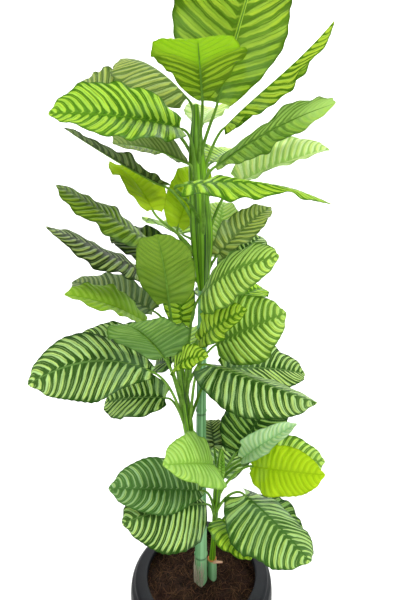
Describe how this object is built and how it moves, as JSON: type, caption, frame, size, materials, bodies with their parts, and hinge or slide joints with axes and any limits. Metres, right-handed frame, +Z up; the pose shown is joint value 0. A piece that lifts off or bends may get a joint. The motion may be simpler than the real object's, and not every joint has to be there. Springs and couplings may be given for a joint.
{
  "type": "potted zebra calathea",
  "caption": "Tall artificial calathea in a rounded black pot: cane poles in coir carry sheath heads with large zebra-striped leaves on petioles.",
  "frame": {"origin": "middle of the pot's flat underside", "axes": "+Z up along the poles, -Y towards the front, X across it"},
  "size_m": [0.5622, 0.4857, 1.4627],
  "materials": {
    "pot": "dark, slightly satin",
    "coir": "rough coconut fibre",
    "cane": "satin, blue-green",
    "sheath": "satin, fibrous",
    "leaf": "moulded leaf with printed stripes, soft sheen"
  },
  "bodies": {
    "root": {"pot": "pot", "coir_fill": "coir", "tall_pole": "cane", "short_pole": "cane", "upper_head": "sheath", "middle_head": "sheath", "lower_head": "sheath", "upper_leaf_01": "leaf", "upper_leaf_02": "leaf", "upper_leaf_03": "leaf", "upper_leaf_04": "leaf", "upper_leaf_05": "leaf", "upper_leaf_06": "leaf", "upper_leaf_07": "leaf", "upper_leaf_08": "leaf", "upper_leaf_09": "leaf", "upper_leaf_10": "leaf", "upper_leaf_11": "leaf", "upper_leaf_12": "leaf", "upper_leaf_13": "leaf", "upper_leaf_14": "leaf", "upper_leaf_15": "leaf", "upper_leaf_16": "leaf", "upper_leaf_17": "leaf", "upper_leaf_18": "leaf", "upper_leaf_19": "leaf", "upper_leaf_20": "leaf", "upper_leaf_21": "leaf", "upper_leaf_22": "leaf", "upper_leaf_23": "leaf", "middle_leaf_01": "leaf", "middle_leaf_02": "leaf", "middle_leaf_03": "leaf", "middle_leaf_04": "leaf", "middle_leaf_05": "leaf", "middle_leaf_06": "leaf", "middle_leaf_07": "leaf", "middle_leaf_08": "leaf", "middle_leaf_09": "leaf", "middle_leaf_10": "leaf", "middle_leaf_11": "leaf", "middle_leaf_12": "leaf", "middle_leaf_13": "leaf", "middle_leaf_14": "leaf", "middle_leaf_15": "leaf", "middle_leaf_16": "leaf", "middle_leaf_17": "leaf", "lower_leaf_01": "leaf", "lower_leaf_02": "leaf", "lower_leaf_03": "leaf", "lower_leaf_04": "leaf", "lower_leaf_05": "leaf", "lower_leaf_06": "leaf", "lower_leaf_07": "leaf", "lower_leaf_08": "leaf", "lower_leaf_09": "leaf", "lower_leaf_10": "leaf", "lower_leaf_11": "leaf", "lower_leaf_12": "leaf", "lower_leaf_13": "leaf"}
  },
  "joints": []
}
